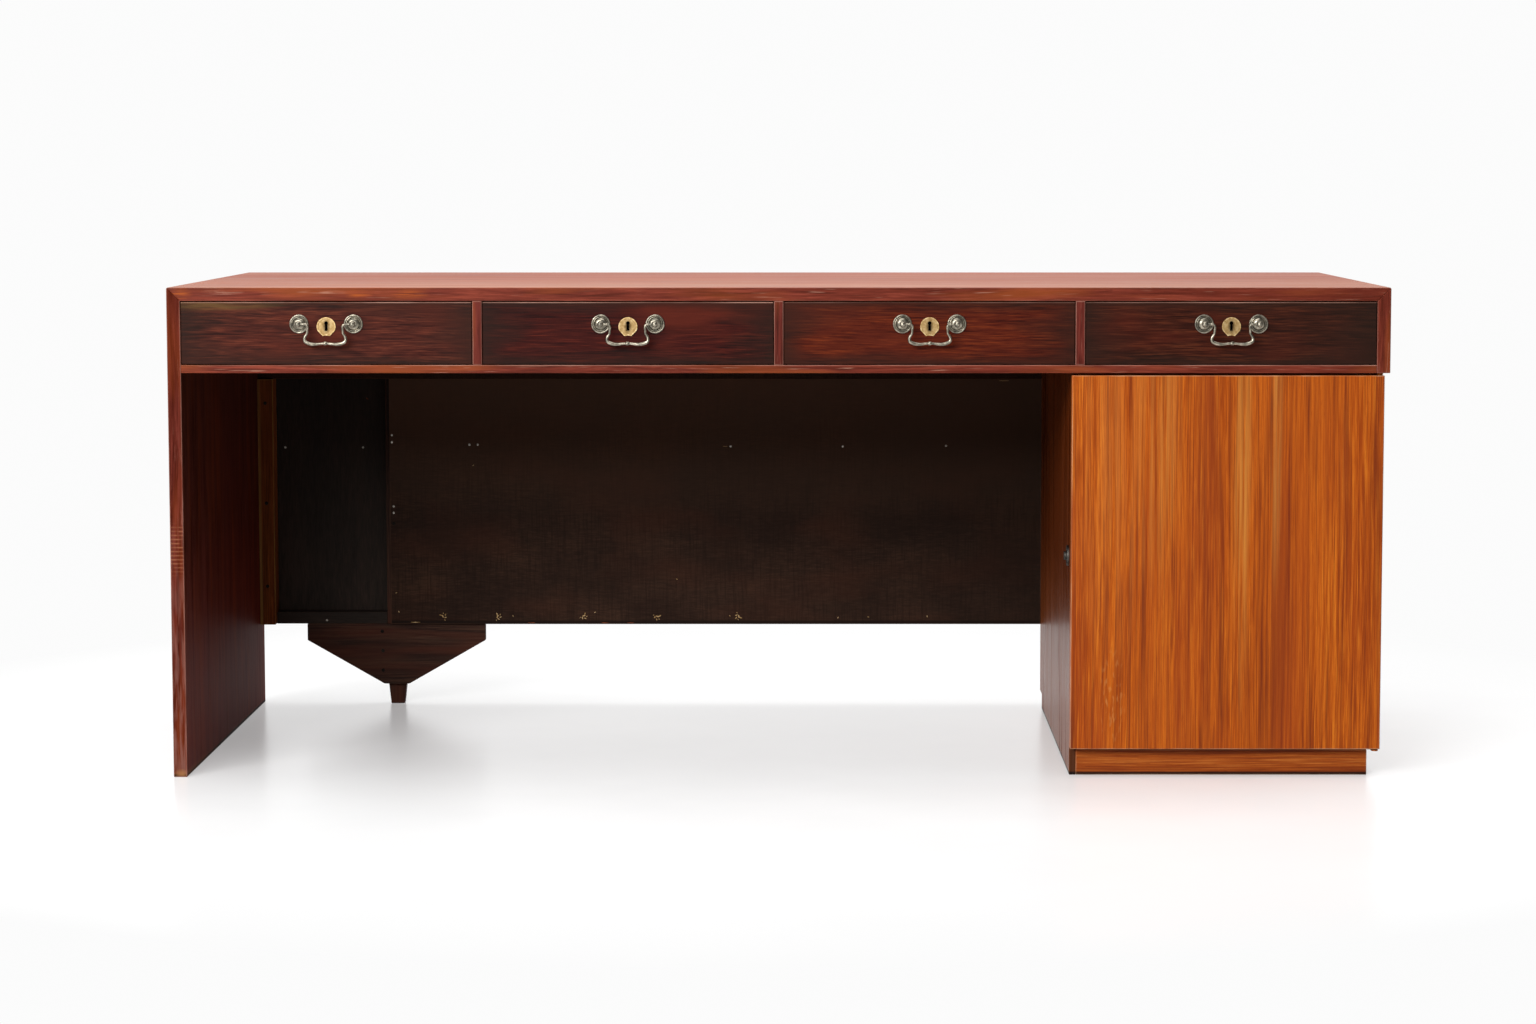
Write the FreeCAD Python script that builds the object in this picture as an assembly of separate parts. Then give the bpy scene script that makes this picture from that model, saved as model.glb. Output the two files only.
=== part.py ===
import FreeCAD, Part
import math
import os

from FreeCAD import Vector

# Whole desk. Pieces are placed on a bench: x from the left end, y from the front back, z from the floor.
desk_width = 1800.0
desk_depth = 780.0
desk_height = 727.0
arris = 0.8
overrun = 3.0
running_clearance = 0.05

# Drawer box: the top is mitred to a slab leg on the left and to a short end on the right.
top_thickness = 20.0
slab_thickness = 20.0
end_thickness = 20.0
corner_radius = 3.0
deck_thickness = 12.0
opening_height = 94.0
divider_thickness = 14.0
box_back_thickness = 14.0
drawer_count = 4
top_under = desk_height - top_thickness
deck_top = top_under - opening_height
box_bottom = deck_top - deck_thickness
inside_right = desk_width - end_thickness
box_back_front = desk_depth - box_back_thickness
bay_width = (inside_right - slab_thickness - (drawer_count - 1) * divider_thickness) / drawer_count
bay_pitch = bay_width + divider_thickness

# Stop blocks glued to the deck behind the drawer fronts
stop_width = 40.0
stop_length = 24.0
stop_height = 5.0
stop_inset = 70.0

# Drawers: flush fronts, dovetailed sides, a housed back and a grooved bottom
front_thickness = 18.0
front_gap = 1.0
front_top_gap = 1.6
drawer_length = 580.0
side_thickness = 10.0
side_height = 88.0
drawer_back_thickness = 10.0
drawer_back_inset = 12.0
bottom_thickness = 5.0
bottom_lift = 8.0
groove_depth = 4.0
tail_count = 3
tail_length = 13.0
tail_root = 15.0
tail_slope_share = 1.0 / 6.0
drawer_inner = front_thickness - groove_depth
front_top = top_under - front_top_gap
front_bottom = deck_top + front_gap

# Swan-neck pulls: turned rosettes, ball-headed posts and a bail that swings in them
pull_spread = 80.0
pull_drop_from_top = 31.9
post_reach = 15.0
ball_radius = 4.6
post_neck_radius = 2.9
shank_radius = 2.4
nut_radius = 5.0
nut_height = 4.0
rosette_radius = 14.0
rosette_height = 4.4
rosette_rim_height = 2.2
rosette_rim_share = 0.8
rosette_ring_height = 1.5
rosette_ring_share = 0.66
rosette_groove_share = 0.3
pin_radius = 1.6
pin_proud = 0.4
knuckle_radius = 2.3
bail_drop = 28.5
bail_half_waist = 25.6
wire_radius = 1.7
bead_radius = 2.9
bead_length = 9.0
# Stations of half a bail: inward reach beyond the waist and fall, then thickness of the wire.
neck_reach_shares = (0.18, 0.05, 0.0, 0.02, 0.09, 0.175, 0.14, -0.06, -0.37, -0.69, -1.0)
neck_fall_shares = (0.0, 0.035, 0.14, 0.35, 0.56, 0.73, 0.88, 0.985, 1.03, 1.005, 0.985)
wire_shares = (0.94, 1.0, 1.02, 1.02, 1.08, 1.3, 1.5, 1.55, 1.35, 1.08, 1.05)
pull_reach = post_reach + ball_radius
pull_height = front_top - pull_drop_from_top

# Keyhole escutcheons: round above, with two straight flanks below and a hollowed foot
escutcheon_radius = 13.8
escutcheon_thickness = 1.8
escutcheon_drop = 4.0
escutcheon_rim = 1.6
escutcheon_recess = 0.6
escutcheon_flank_angle = 25.0
escutcheon_foot = 10.4
escutcheon_foot_hollow = 0.9
keyhole_radius = 2.75
keyhole_waist = 2.8
keyhole_foot = 4.2
keyhole_height = 14.0
keyhole_rise = 5.2

# Drawer locks, let into the back of each front, with a bolt that shoots up into the top
lock_width = 44.0
lock_height = 48.0
lock_depth = 10.0
plate_width = 60.0
plate_height = 52.0
plate_thickness = 2.0
selvedge_depth = 12.0
selvedge_thickness = 2.5
bolt_width = 24.0
bolt_thickness = 5.0
bolt_height = 20.0
bolt_throw = 7.0
bolt_clearance = 0.3
mortise_clearance = 1.5

# Pedestal cabinet under the right end
pedestal_width = 460.0
pedestal_inset = 8.0
door_thickness = 20.0
door_seat_gap = 2.0
door_top_gap = 1.0
door_bottom_overlap = 4.0
left_side_thickness = 10.0
right_side_thickness = 16.0
cabinet_board_thickness = 16.0
cabinet_back_thickness = 6.0
plinth_height = 38.0
plinth_thickness = 18.0
plinth_right_inset = 16.0
plinth_rear_inset = 50.0
side_notch_height = 24.0
shelf_thickness = 16.0
shelf_under_lock = 35.0
shelf_housing = 4.0
shelf_front_inset = 10.0
packing_height = 2.5
packing_width = 60.0
packing_inset = 70.0
pedestal_right = desk_width - pedestal_inset
pedestal_left = pedestal_right - pedestal_width
cabinet_left = pedestal_left + left_side_thickness
cabinet_right = pedestal_right - right_side_thickness
cabinet_front = door_thickness + door_seat_gap
cabinet_floor = plinth_height + cabinet_board_thickness
cabinet_top = box_bottom - packing_height
door_bottom = plinth_height + door_bottom_overlap
door_top = cabinet_top - door_top_gap

# Knife hinges at the top and bottom of the door, on one upright line near its right edge
hinge_edge = 6.0
hinge_from_front = 11.0
hinge_width = 10.0
hinge_thickness = 2.0
fixed_leaf_length = 52.0
door_leaf_length = 52.0
hinge_pin_radius = 2.5
hinge_pin_length = 9.0
hinge_relief = 1.0

# Lock on the kneehole side of the pedestal: a turning plug with a hook that holds a pin on the door
lock_from_front = 60.0
lock_centre_height = 325.0
shelf_top = lock_centre_height - shelf_under_lock
plug_radius = 6.5
plug_proud = 7.0
plug_bore_gap = 0.5
key_slot_width = 1.4
key_slot_length = 8.0
key_slot_depth = 4.0
collar_radius = 15.5
collar_height = 3.0
hook_gap = 1.0
hook_thickness = 4.0
hook_wall = 4.0
hook_tip_angle = 20.0
hook_arm_angle = 45.0
hook_turn = 75.0
arm_width = 6.0
keeper_pin_radius = 2.0
keeper_pin_reach = 20.0
keeper_stand_off = 8.0
keeper_plate_width = 14.0
keeper_plate_height = 28.0
keeper_plate_thickness = 2.0
keeper_arm_thickness = 2.5
keeper_arm_height = 10.0

# Kneehole back: a batten, a cleat, a post on a tapered foot, rails, thin boards and a gusset
board_thickness = 6.0
left_board_thickness = 5.0
back_frame_depth = 25.0
kneehole_back_bottom = 137.0
batten_height = 51.0
cleat_width = 26.0
cleat_depth = 40.0
rail_height = 20.0
rail_overlap = 60.0
post_left = 232.0
post_width = 30.0
post_lap = 7.0
foot_height = 35.0
foot_width = 22.5
gusset_width = 300.0
gusset_thickness = 12.0
gusset_side = 28.0
gusset_tip_width = 42.0
frame_rear = desk_depth - left_board_thickness
frame_front = frame_rear - back_frame_depth
board_front = frame_front - board_thickness
pedestal_rear = frame_front
panel_top = box_bottom - batten_height

front_y = (pull_reach - desk_depth) / 2


def board(x, y, z):
    """A rectangular board from its low and high x, y and z."""
    return Part.makeBox(x[1] - x[0], y[1] - y[0], z[1] - z[0], Vector(x[0], y[0], z[0]))


def span(middle, width):
    """The low and high ends of a width about its middle."""
    return (middle - width / 2, middle + width / 2)


def eased(solid):
    """The solid with every edge taken off."""
    return solid.makeChamfer(arris, solid.Edges)


def profile_along_y(points, y):
    """A prism with an outline in x and z, between two y."""
    corners = [Vector(x, y[0], z) for x, z in points]
    face = Part.Face(Part.makePolygon(corners + corners[:1]))
    return face.extrude(Vector(0, y[1] - y[0], 0))


def profile_along_x(points, x):
    """A prism with an outline in y and z, between two x."""
    corners = [Vector(x[0], y, z) for y, z in points]
    face = Part.Face(Part.makePolygon(corners + corners[:1]))
    return face.extrude(Vector(x[1] - x[0], 0, 0))


def rod_along_x(radius, x, y, z):
    """A round rod along x."""
    return Part.makeCylinder(radius, x[1] - x[0], Vector(x[0], y, z), Vector(1, 0, 0))


def rod_along_y(radius, x, y, z):
    """A round rod along y."""
    return Part.makeCylinder(radius, y[1] - y[0], Vector(x, y[0], z), Vector(0, 1, 0))


def rod_along_z(radius, x, y, z):
    """A round rod along z."""
    return Part.makeCylinder(radius, z[1] - z[0], Vector(x, y, z[0]))


def turned(edges):
    """A turned solid from a closed half profile in x and z, spun about z."""
    return Part.Face(Part.Wire(edges)).revolve(Vector(0, 0, 0), Vector(0, 0, 1), 360)


def line(a, b):
    """A straight edge of a half profile."""
    return Part.makeLine(Vector(a[0], 0, a[1]), Vector(b[0], 0, b[1]))


def arc(a, middle, b):
    """A round edge of a half profile through three points."""
    points = [Vector(p[0], 0, p[1]) for p in (a, middle, b)]
    return Part.Arc(*points).toShape()


def facing_front(solid, x, z):
    """A turned solid with its axis swung to point out of the drawer front."""
    solid.rotate(Vector(0, 0, 0), Vector(1, 0, 0), 90)
    solid.translate(Vector(x, 0, z))
    return solid


def save(node, *solids):
    """Move the solids of one node to the frame's origin and write them."""
    group = solids[0] if len(solids) == 1 else Part.makeCompound(list(solids))
    group.translate(Vector(-desk_width / 2, front_y, 0))
    group.exportStep("parts/" + node + ".step")


def bay_left(bay):
    return slab_thickness + bay * bay_pitch


def bay_middle(bay):
    return bay_left(bay) + bay_width / 2


# Carcass of the drawer box


def bolt_box(bay, z, clearance):
    """The upright room of a lock bolt."""
    x = span(bay_middle(bay), bolt_width + 2 * clearance)
    rear = front_thickness - plate_thickness - bolt_clearance
    return board(x, (rear - bolt_thickness - clearance, rear + clearance), z)


def corner_waste(x, inward):
    """What is taken off to round the upper corner of the box at x."""
    middle = x + inward * corner_radius
    depth = (-overrun, desk_depth + overrun)
    level = desk_height - corner_radius
    block = board(sorted((middle, x - inward * overrun)), depth, (level, desk_height + overrun))
    return block.cut(rod_along_y(corner_radius, middle, depth, level))


def top_board():
    outline = [
        (0, desk_height),
        (desk_width, desk_height),
        (inside_right, top_under),
        (slab_thickness, top_under),
    ]
    top = eased(profile_along_y(outline, (0, desk_depth)))
    top = top.cut([corner_waste(0, 1), corner_waste(desk_width, -1)])
    for bay in range(drawer_count):
        room = (top_under - overrun, front_top + bolt_throw + mortise_clearance)
        top = top.cut(bolt_box(bay, room, mortise_clearance))
    return top


def left_slab():
    outline = [(0, 0), (slab_thickness, 0), (slab_thickness, top_under), (0, desk_height)]
    return eased(profile_along_y(outline, (0, desk_depth))).cut(corner_waste(0, 1))


def right_end():
    outline = [
        (inside_right, box_bottom),
        (desk_width, box_bottom),
        (desk_width, desk_height),
        (inside_right, top_under),
    ]
    return eased(profile_along_y(outline, (0, desk_depth))).cut(corner_waste(desk_width, -1))


def deck():
    return eased(board((slab_thickness, inside_right), (0, box_back_front), (box_bottom, deck_top)))


def box_back():
    return eased(
        board((slab_thickness, inside_right), (box_back_front, desk_depth), (box_bottom, top_under))
    )


def dividers():
    lefts = [bay_left(bay) - divider_thickness for bay in range(1, drawer_count)]
    heights = (deck_top, top_under)
    return [eased(board((x, x + divider_thickness), (0, box_back_front), heights)) for x in lefts]


def drawer_stops():
    blocks = []
    for bay in range(drawer_count):
        for side in (-1, 1):
            middle = bay_middle(bay) + side * (bay_width / 2 - stop_inset)
            y = (front_thickness, front_thickness + stop_length)
            blocks.append(board(span(middle, stop_width), y, (deck_top, deck_top + stop_height)))
    return blocks


# Drawers


def tails(x):
    """The dovetails of one drawer side, widest at their front ends."""
    pitch = side_height / tail_count
    tip = tail_root / 2 + tail_length * tail_slope_share
    shapes = []
    for index in range(tail_count):
        middle = deck_top + (index + 1 / 2) * pitch
        outline = [
            (front_thickness, middle - tail_root / 2),
            (front_thickness, middle + tail_root / 2),
            (front_thickness - tail_length, middle + tip),
            (front_thickness - tail_length, middle - tip),
        ]
        shapes.append(profile_along_x(outline, x))
    return shapes


def side_spans(bay):
    """The low and high x of the left and right drawer sides."""
    left = bay_left(bay) + front_gap
    right = bay_left(bay) + bay_width - front_gap
    return (left, left + side_thickness), (right - side_thickness, right)


def bottom_panel(bay):
    left, right = side_spans(bay)
    x = (left[1] - groove_depth, right[0] + groove_depth)
    z = (deck_top + bottom_lift, deck_top + bottom_lift + bottom_thickness)
    return board(x, (drawer_inner, drawer_length), z)


def drawer_back(bay):
    left, right = side_spans(bay)
    x = (left[1] - groove_depth, right[0] + groove_depth)
    rear = drawer_length - drawer_back_inset
    z = (deck_top + bottom_lift + bottom_thickness, deck_top + side_height)
    return board(x, (rear - drawer_back_thickness, rear), z)


def drawer_sides(bay):
    sides = []
    for x in side_spans(bay):
        side = board(x, (front_thickness, drawer_length), (deck_top, deck_top + side_height))
        side = side.fuse(tails(x)).removeSplitter()
        sides.append(side.cut([bottom_panel(bay), drawer_back(bay)]))
    return sides


def keyhole(x, y):
    """The keyhole as a prism along y: a round head on a slot that widens to its foot."""
    head = pull_height - escutcheon_drop + keyhole_rise
    foot = head + keyhole_radius - keyhole_height
    left, right = span(x, keyhole_waist)
    foot_left, foot_right = span(x, keyhole_foot)
    slot = profile_along_y([(left, head), (right, head), (foot_right, foot), (foot_left, foot)], y)
    return rod_along_y(keyhole_radius, x, y, head).fuse(slot)


def lock_body(bay):
    """The outside of a drawer lock: case, back plate and the selvedge on top of the front."""
    x = bay_middle(bay)
    rear = front_thickness
    case = board(span(x, lock_width), (rear - lock_depth, rear), (front_top - lock_height, front_top))
    wide = span(x, plate_width)
    plate = board(wide, (rear - plate_thickness, rear), (front_top - plate_height, front_top))
    selvedge = board(wide, (rear - selvedge_depth, rear), (front_top - selvedge_thickness, front_top))
    return case.fuse([plate, selvedge]).removeSplitter()


def drawer_lock(bay):
    x = bay_middle(bay)
    room = bolt_box(bay, (front_top - bolt_height - bolt_clearance, front_top + overrun), bolt_clearance)
    key = keyhole(x, (front_thickness - lock_depth - overrun, front_thickness - plate_thickness))
    return lock_body(bay).cut([room, key])


def lock_bolt(bay):
    key = keyhole(bay_middle(bay), (0, front_thickness))
    return bolt_box(bay, (front_top - bolt_height, front_top), 0).cut(key)


def post_places(bay):
    return [bay_middle(bay) + side * pull_spread / 2 for side in (-1, 1)]


def drawer_front(bay):
    left, right = side_spans(bay)
    front = eased(board((left[0], right[1]), (0, front_thickness), (front_bottom, front_top)))
    cutters = tails(left) + tails(right) + [bottom_panel(bay), lock_body(bay)]
    cutters.append(keyhole(bay_middle(bay), (-overrun, front_thickness)))
    for x in post_places(bay):
        cutters.append(rod_along_y(shank_radius, x, (-overrun, front_thickness + overrun), pull_height))
    return front.cut(cutters)


def escutcheon(bay):
    x = bay_middle(bay)
    z = pull_height - escutcheon_drop
    flank = math.radians(escutcheon_flank_angle)
    side = Vector(escutcheon_radius * math.cos(flank), 0, -escutcheon_radius * math.sin(flank))
    foot = Vector(escutcheon_foot / 2, 0, -escutcheon_radius)
    other_side = Vector(-side.x, 0, side.z)
    other_foot = Vector(-foot.x, 0, foot.z)
    outline = Part.Wire(
        [
            Part.Arc(side, Vector(0, 0, escutcheon_radius), other_side).toShape(),
            Part.makeLine(other_side, other_foot),
            Part.Arc(other_foot, Vector(0, 0, foot.z + escutcheon_foot_hollow), foot).toShape(),
            Part.makeLine(foot, side),
        ]
    )
    plate = Part.Face(outline).extrude(Vector(0, -escutcheon_thickness, 0))
    field = Part.Face(outline.makeOffset2D(-escutcheon_rim)).extrude(Vector(0, -escutcheon_recess, 0))
    field.translate(Vector(0, escutcheon_recess - escutcheon_thickness, 0))
    plate = plate.cut(field)
    plate.translate(Vector(x, 0, z))
    return plate.cut(keyhole(x, (-escutcheon_thickness - overrun, overrun)))


def rosette():
    """A turned rosette: a rounded rim, a finer ring and a dome with a hole for the post."""
    hole = post_neck_radius + running_clearance
    rim = rosette_radius * rosette_rim_share
    rim_middle = (rosette_radius + rim) / 2
    ring = rosette_radius * rosette_ring_share
    ring_middle = (rim + ring) / 2
    groove = rosette_rim_height * rosette_groove_share
    dome_middle = (ring + hole) / 2
    dome_rise = groove + (rosette_height - groove) * math.sqrt(rosette_rim_share)
    return turned(
        [
            line((hole, 0), (rosette_radius, 0)),
            line((rosette_radius, 0), (rosette_radius, groove)),
            arc((rosette_radius, groove), (rim_middle, rosette_rim_height), (rim, groove)),
            arc((rim, groove), (ring_middle, rosette_ring_height), (ring, groove)),
            arc((ring, groove), (dome_middle, dome_rise), (hole, rosette_height)),
            line((hole, rosette_height), (hole, 0)),
        ]
    )


def post():
    """A ball-headed post with its threaded shank, bored across for the bail."""
    neck_end = post_reach - math.sqrt(ball_radius**2 - post_neck_radius**2)
    tip = post_reach + ball_radius
    end = -front_thickness - nut_height
    blank = turned(
        [
            line((0, end), (shank_radius, end)),
            line((shank_radius, end), (shank_radius, 0)),
            line((shank_radius, 0), (post_neck_radius, 0)),
            line((post_neck_radius, 0), (post_neck_radius, neck_end)),
            arc((post_neck_radius, neck_end), (ball_radius, post_reach), (0, tip)),
            line((0, tip), (0, end)),
        ]
    )
    bore = pin_radius + running_clearance
    return blank.cut(rod_along_x(bore, (-ball_radius - overrun, ball_radius + overrun), 0, post_reach))


def nut():
    """A round nut on the shank, inside the drawer."""
    blank = Part.makeCylinder(nut_radius, nut_height, Vector(0, 0, -front_thickness - nut_height))
    bore = Part.makeCylinder(shank_radius, nut_height + 2 * overrun)
    bore.translate(Vector(0, 0, -front_thickness - nut_height - overrun))
    return blank.cut(bore)


def pull_posts(bay):
    makers = (rosette, post, nut)
    return [facing_front(make(), x, pull_height) for x in post_places(bay) for make in makers]


def bead():
    """A spindle-shaped bead, turned and laid along x."""
    ends = ((0, -bead_length / 2), (0, bead_length / 2))
    blank = turned([arc(ends[0], (bead_radius, 0), ends[1]), line(ends[1], ends[0])])
    blank.rotate(Vector(0, 0, 0), Vector(0, 1, 0), 90)
    return blank


def bail(bay):
    """A bail with a swan neck and a pin at each end, thicker at its lower corners, with a bead between."""
    half = []
    for reach, fall in zip(neck_reach_shares, neck_fall_shares):
        half.append(Vector(bail_half_waist * (1 + reach), 0, -bail_drop * fall))
    mirrored = [Vector(-point.x, 0, point.z) for point in reversed(half[:-1])]
    points = half + mirrored
    radii = [wire_radius * share for share in wire_shares + wire_shares[-2::-1]]
    course = Part.BSplineCurve()
    course.interpolate(points)
    rings = []
    for point, radius in zip(points, radii):
        along = Vector(*course.tangent(course.parameter(point))[0])
        rings.append(Part.Wire(Part.makeCircle(radius, point, along)))
    wire = Part.makeLoft(rings, True)
    middle = bead()
    middle.translate(half[-1])
    pieces = [middle]
    pin_length = pull_spread / 2 + ball_radius + pin_proud - half[0].x
    for end, way in ((points[0], Vector(1, 0, 0)), (points[-1], Vector(-1, 0, 0))):
        pieces.append(Part.makeCylinder(pin_radius, pin_length, end, way))
        pieces.append(Part.makeSphere(knuckle_radius, end, way))
    whole = wire.fuse(pieces)
    whole.translate(Vector(bay_middle(bay), -post_reach, pull_height))
    return whole


# Pedestal


def hinge_x():
    return pedestal_right - hinge_edge


def leaf(length, along, x, y, z):
    """A knife-hinge leaf: a bar with a round end about the pin, running along x or y."""
    if along == "y":
        bar = board(span(x, hinge_width), (y, y + length), z)
    else:
        bar = board((x - length, x), span(y, hinge_width), z)
    return bar.fuse(rod_along_z(hinge_width / 2, x, y, z)).removeSplitter()


def fixed_leaf_levels():
    return (plinth_height, plinth_height + hinge_thickness), (cabinet_top, cabinet_top + hinge_thickness)


def door_leaf_levels():
    return (door_bottom, door_bottom + hinge_thickness), (door_top - hinge_thickness, door_top)


def hinge_pins(radius):
    """The two pins of the door, from the fixed leaves into the door."""
    low, high = fixed_leaf_levels()
    x, y = hinge_x(), hinge_from_front
    lower = rod_along_z(radius, x, y, (low[0], low[1] + hinge_pin_length))
    upper = rod_along_z(radius, x, y, (high[0] - hinge_pin_length, high[1]))
    return [lower, upper]


def fixed_leaves():
    leaves = [leaf(fixed_leaf_length, "y", hinge_x(), hinge_from_front, z) for z in fixed_leaf_levels()]
    return [plate.fuse(pin).removeSplitter() for plate, pin in zip(leaves, hinge_pins(hinge_pin_radius))]


def door_leaves():
    leaves = [leaf(door_leaf_length, "x", hinge_x(), hinge_from_front, z) for z in door_leaf_levels()]
    bores = hinge_pins(hinge_pin_radius + running_clearance)
    return [plate.cut(bore) for plate, bore in zip(leaves, bores)]


def door():
    blank = eased(board((pedestal_left, pedestal_right), (0, door_thickness), (door_bottom, door_top)))
    beds = [leaf(door_leaf_length, "x", hinge_x(), hinge_from_front, z) for z in door_leaf_levels()]
    reliefs = hinge_pins(hinge_pin_radius + hinge_relief)
    for relief, rise in zip(reliefs, (1, -1)):
        relief.translate(Vector(0, 0, rise * hinge_relief))
    return blank.cut(beds + reliefs)


def pedestal_left_side():
    rear, notch = pedestal_rear, pedestal_rear - plinth_rear_inset
    outline = [
        (cabinet_front, 0),
        (notch, 0),
        (notch, side_notch_height),
        (rear, side_notch_height),
        (rear, cabinet_top),
        (cabinet_front, cabinet_top),
    ]
    side = eased(profile_along_x(outline, (pedestal_left, cabinet_left)))
    bore = rod_along_x(
        plug_radius + plug_bore_gap,
        (pedestal_left - overrun, cabinet_left + overrun),
        lock_from_front,
        lock_centre_height,
    )
    return side.cut([shelf(), bore])


def pedestal_right_side():
    side = eased(
        board((cabinet_right, pedestal_right), (cabinet_front, pedestal_rear), (plinth_height, cabinet_top))
    )
    bed = leaf(fixed_leaf_length, "y", hinge_x(), hinge_from_front, fixed_leaf_levels()[0])
    return side.cut([shelf(), bed])


def cabinet_board(z):
    return eased(
        board((cabinet_left, cabinet_right), (cabinet_front, pedestal_rear - cabinet_back_thickness), z)
    )


def pedestal_top():
    return cabinet_board((cabinet_top - cabinet_board_thickness, cabinet_top))


def pedestal_bottom():
    return cabinet_board((plinth_height, cabinet_floor))


def pedestal_back():
    return board(
        (cabinet_left, cabinet_right),
        (pedestal_rear - cabinet_back_thickness, pedestal_rear),
        (plinth_height, cabinet_top),
    )


def shelf():
    x = (cabinet_left - shelf_housing, cabinet_right + shelf_housing)
    y = (cabinet_front + shelf_front_inset, pedestal_rear - cabinet_back_thickness)
    return board(x, y, (shelf_top - shelf_thickness, shelf_top))


def packing_strips():
    """Two strips between the cabinet and the box, set in from both sides and from the front."""
    y = (cabinet_front + packing_inset, pedestal_rear - packing_inset)
    left = (pedestal_left + packing_inset, pedestal_left + packing_inset + packing_width)
    right = (pedestal_right - packing_inset - packing_width, pedestal_right - packing_inset)
    return [board(x, y, (cabinet_top, box_bottom)) for x in (left, right)]


def plinth():
    front, rear = cabinet_front, pedestal_rear - plinth_rear_inset
    right = pedestal_right - plinth_right_inset
    between = (front + plinth_thickness, rear - plinth_thickness)
    z = (0, plinth_height)
    return [
        eased(board((cabinet_left, right), (front, front + plinth_thickness), z)),
        eased(board((right - plinth_thickness, right), between, z)),
        eased(board((cabinet_left, right), (rear - plinth_thickness, rear), z)),
    ]


def lock_collar():
    ring = rod_along_x(
        collar_radius, (pedestal_left - collar_height, pedestal_left), lock_from_front, lock_centre_height
    )
    outer = [edge for edge in ring.Edges if edge.BoundBox.XMax < pedestal_left]
    ring = ring.makeFillet(collar_height / 2, outer)
    bore = rod_along_x(
        plug_radius + running_clearance,
        (pedestal_left - collar_height - overrun, pedestal_left + overrun),
        lock_from_front,
        lock_centre_height,
    )
    return ring.cut(bore)


def hook_ring(radius, x):
    return rod_along_x(radius, x, lock_from_front, lock_centre_height)


def hook_sector(radius, x):
    """A wedge about the plug from the hook's tip to its arm, wide enough to cut the ring."""
    centre = (lock_from_front, lock_centre_height)
    outline = [centre]
    for degrees in (180 - hook_tip_angle, 180, 180 + hook_arm_angle):
        angle = math.radians(degrees)
        outline.append((centre[0] + radius * math.cos(angle), centre[1] + radius * math.sin(angle)))
    return profile_along_x(outline, x)


def lock_plug():
    """A plug with a key slot outside and a hook inside, drawn clear of the door's pin."""
    x = (cabinet_left + hook_gap, cabinet_left + hook_gap + hook_thickness)
    inner = keeper_pin_reach + keeper_pin_radius + hook_gap
    outer = inner + hook_wall
    hook = hook_ring(outer, x).cut(hook_ring(inner, (x[0] - overrun, x[1] + overrun)))
    hook = hook.common(hook_sector(2 * outer, x))
    reach = (lock_from_front - outer + hook_wall / 2, lock_from_front)
    arm = board(x, reach, span(lock_centre_height, arm_width))
    pivot = Vector(0, lock_from_front, lock_centre_height)
    arm.rotate(pivot, Vector(1, 0, 0), hook_arm_angle)
    barrel = hook_ring(plug_radius, (pedestal_left - plug_proud, x[1]))
    face = pedestal_left - plug_proud
    slot = board(
        (face - overrun, face + key_slot_depth),
        span(lock_from_front, key_slot_width),
        span(lock_centre_height, key_slot_length),
    )
    whole = barrel.fuse([hook, arm]).removeSplitter().cut(slot)
    whole.rotate(pivot, Vector(1, 0, 0), hook_turn)
    return whole


def door_keeper():
    """A plate on the door with an arm that carries the pin which the hook holds."""
    left = cabinet_left + keeper_stand_off
    z = lock_centre_height
    pin_y = lock_from_front - keeper_pin_reach
    plate = board(
        (left, left + keeper_plate_width),
        (door_thickness, door_thickness + keeper_plate_thickness),
        span(z, keeper_plate_height),
    )
    arm_x = (left, left + keeper_arm_thickness)
    arm = board(arm_x, (door_thickness, pin_y + 2 * keeper_pin_radius), span(z, keeper_arm_height))
    pin = rod_along_x(keeper_pin_radius, (cabinet_left + 2 * hook_gap, arm_x[1]), pin_y, z)
    return plate.fuse([arm, pin]).removeSplitter()


# Kneehole back


def back_batten():
    return eased(board((slab_thickness, pedestal_left), (board_front, frame_rear), (panel_top, box_bottom)))


def slab_cleat():
    return eased(
        board(
            (slab_thickness, slab_thickness + cleat_width),
            (frame_rear - cleat_depth, frame_rear),
            (kneehole_back_bottom, panel_top),
        )
    )


def back_post():
    """The post: full depth above, thinned behind the gusset, with a foot that tapers to the floor."""
    middle = post_left + post_width / 2
    thin_front = frame_front + gusset_thickness
    wide = span(middle, post_width)
    upper = board(wide, (frame_front, desk_depth), (kneehole_back_bottom, panel_top))
    outline = [
        (middle - foot_width / 2, 0),
        (middle + foot_width / 2, 0),
        (wide[1], foot_height),
        (wide[1], kneehole_back_bottom),
        (wide[0], kneehole_back_bottom),
        (wide[0], foot_height),
    ]
    lower = profile_along_y(outline, (thin_front, desk_depth))
    return eased(upper.fuse(lower).removeSplitter())


def back_rails():
    z = (kneehole_back_bottom, kneehole_back_bottom + rail_height)
    y = (frame_front, frame_rear)
    left = (slab_thickness + cleat_width, post_left)
    right = (post_left + post_width, pedestal_left + rail_overlap)
    return [eased(board(x, y, z)) for x in (left, right)]


def gusset():
    middle = post_left + post_width / 2
    shoulder = kneehole_back_bottom - gusset_side
    outline = [
        (middle - gusset_width / 2, kneehole_back_bottom),
        (middle + gusset_width / 2, kneehole_back_bottom),
        (middle + gusset_width / 2, shoulder),
        (middle + gusset_tip_width / 2, foot_height),
        (middle - gusset_tip_width / 2, foot_height),
        (middle - gusset_width / 2, shoulder),
    ]
    return eased(profile_along_y(outline, (frame_front, frame_front + gusset_thickness)))


def back_panel_left():
    return board((slab_thickness, post_left), (frame_rear, desk_depth), (kneehole_back_bottom, box_bottom))


def back_panel_right():
    return board(
        (post_left + post_lap, pedestal_left), (board_front, frame_front), (kneehole_back_bottom, panel_top)
    )


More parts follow.
